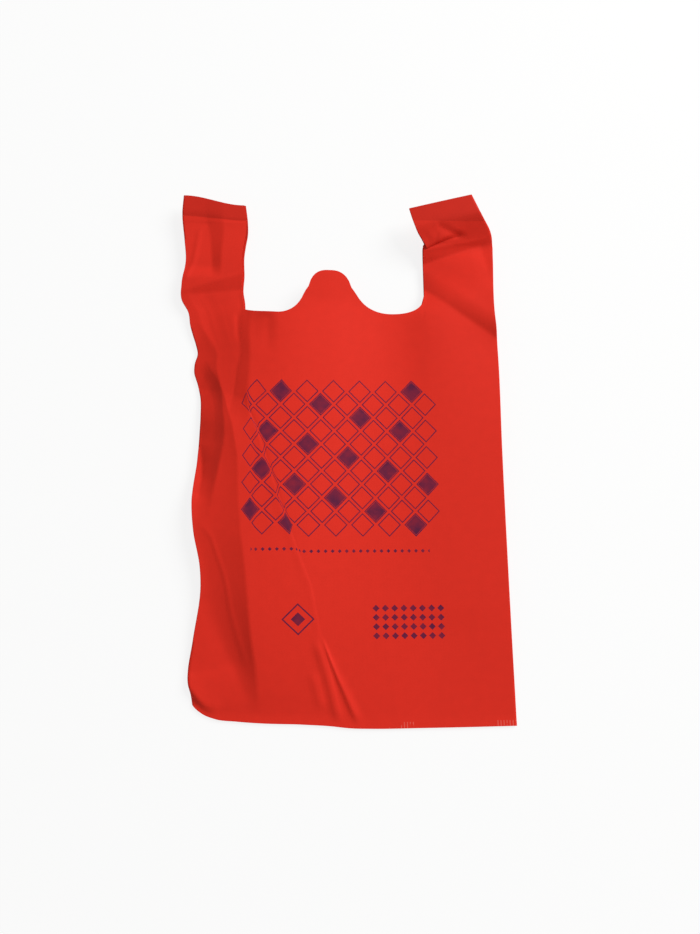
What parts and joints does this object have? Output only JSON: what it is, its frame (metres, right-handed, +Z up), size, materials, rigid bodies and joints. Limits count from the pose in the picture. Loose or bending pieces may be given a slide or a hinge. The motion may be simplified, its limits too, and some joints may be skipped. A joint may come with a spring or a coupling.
{
  "type": "non-woven vest bag",
  "caption": "Thin red non-woven vest carrier bag with folded side gussets, loop handles cut from the panels and a short mouth tab, lying flat and slightly creased.",
  "frame": {"origin": "on the floor, under the middle of the bag's bounding box", "axes": "+X across the bag, +Y from the bottom weld towards the handles, +Z up out of the front panel"},
  "size_m": [0.301, 0.4828, 0.0198],
  "materials": {
    "nonwoven_fabric": "matte point-bonded spunbond polypropylene with a dark one-colour print"
  },
  "bodies": {
    "root": {"vest_bag": "nonwoven_fabric"}
  },
  "joints": []
}
